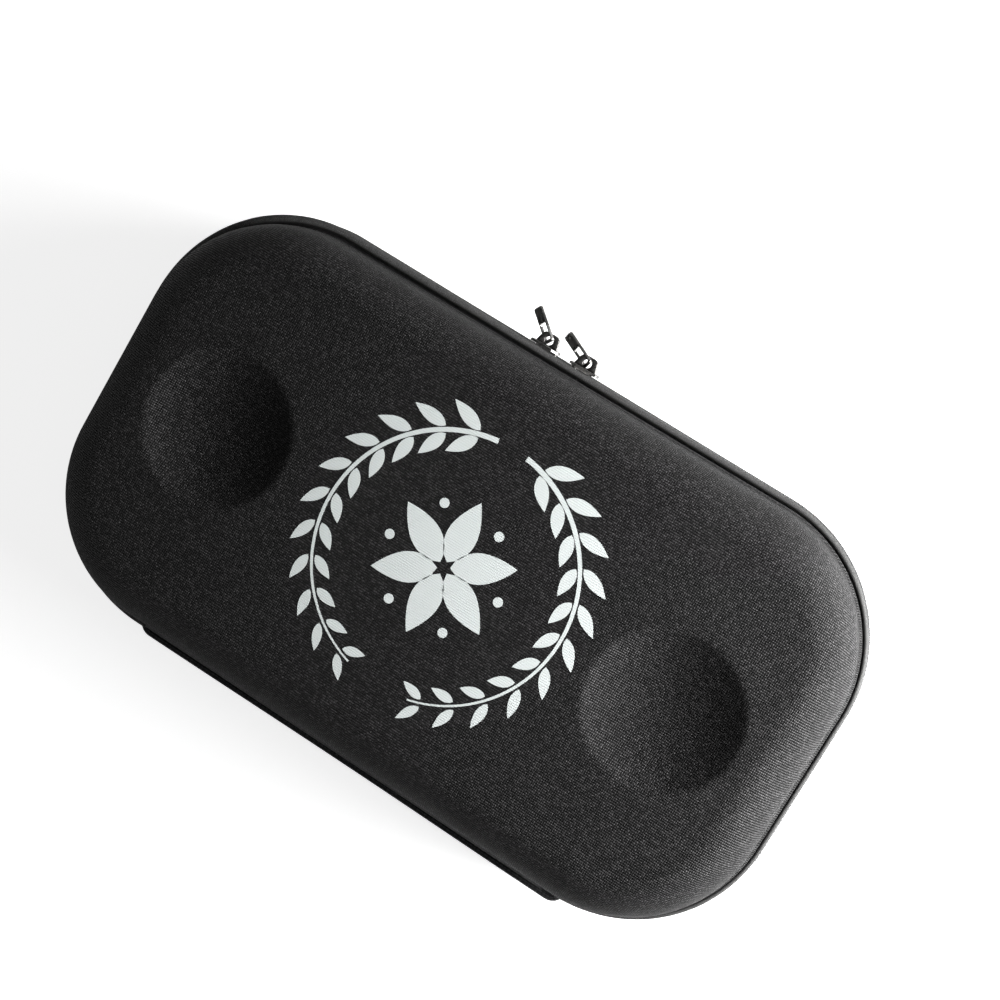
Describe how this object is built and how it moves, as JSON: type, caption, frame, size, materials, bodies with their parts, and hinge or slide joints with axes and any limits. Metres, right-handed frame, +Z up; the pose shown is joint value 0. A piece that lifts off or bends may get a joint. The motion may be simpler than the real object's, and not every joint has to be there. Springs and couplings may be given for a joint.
{
  "type": "stethoscope hard case",
  "caption": "Moulded fabric-covered hard case with rounded corners, dished lid, coil zip with twin sliders, fabric hinge, carry strap, mesh pocket and elastic strap.",
  "frame": {"origin": "centre of the flat bottom face of the base", "axes": "+X along the length of the case, -Y towards the zip pulls, +Y towards the hinge and the carry strap, +Z up through the lid"},
  "size_m": [0.2802, 0.177, 0.06],
  "materials": {
    "shell_fabric": "matt black woven polyester laminated over moulded EVA foam",
    "lining": "brushed black knitted lining",
    "binding": "black bias binding",
    "zip_tape": "dark grey woven zip tape",
    "zip_coil": "black nylon coil",
    "metal": "polished black nickel die casting",
    "pull_metal": "black nickel die casting with polished edges",
    "hinge_fabric": "black woven hinge fabric",
    "webbing": "black polyester webbing",
    "mesh": "black polyester net",
    "elastic": "black ribbed elastic",
    "print": "matt light grey screen-print ink"
  },
  "bodies": {
    "base": {"base_shell": "shell_fabric", "base_lining": "lining", "rim_binding_base": "binding", "zip_tape_base": "zip_tape", "zip_coil_base": "zip_coil", "zip_end_stops": "metal", "hinge_fabric_base": "hinge_fabric", "handle_strap": "webbing", "handle_anchor_left": "webbing", "handle_anchor_right": "webbing", "tubing_strap": "elastic", "strap_patches": "binding"},
    "lid": {"lid_shell": "shell_fabric", "lid_lining": "lining", "rim_binding_lid": "binding", "zip_tape_lid": "zip_tape", "zip_coil_lid": "zip_coil", "hinge_fabric_lid": "hinge_fabric", "mesh_pocket": "mesh", "pocket_hem": "elastic"},
    "slider_right": {"slider_body_right": "metal"},
    "pull_right": {"slider_pull_right": "pull_metal"},
    "slider_left": {"slider_body_left": "metal"},
    "pull_left": {"slider_pull_left": "pull_metal"}
  },
  "joints": [
    {"name": "lid_hinge", "type": "hinge", "parent": "base", "child": "lid", "pos_m": [0, 0.0786, 0.03], "axis": [-1, 0, 0], "range_deg": [0, 145]},
    {"name": "slider_right_slide", "type": "slide", "parent": "base", "child": "slider_right", "axis": [1, 0, 0], "range_m": [-0.0015, 0.07]},
    {"name": "slider_left_slide", "type": "slide", "parent": "base", "child": "slider_left", "axis": [-1, 0, 0], "range_m": [-0.0015, 0.076]},
    {"name": "pull_right_swing", "type": "hinge", "parent": "slider_right", "child": "pull_right", "pos_m": [0.0108, -0.08195, 0.03], "axis": [0, 0, -1], "range_deg": [-18, 46]},
    {"name": "pull_left_swing", "type": "hinge", "parent": "slider_left", "child": "pull_left", "pos_m": [-0.0046, -0.08195, 0.03], "axis": [0, 0, -1], "range_deg": [0, 130]}
  ]
}
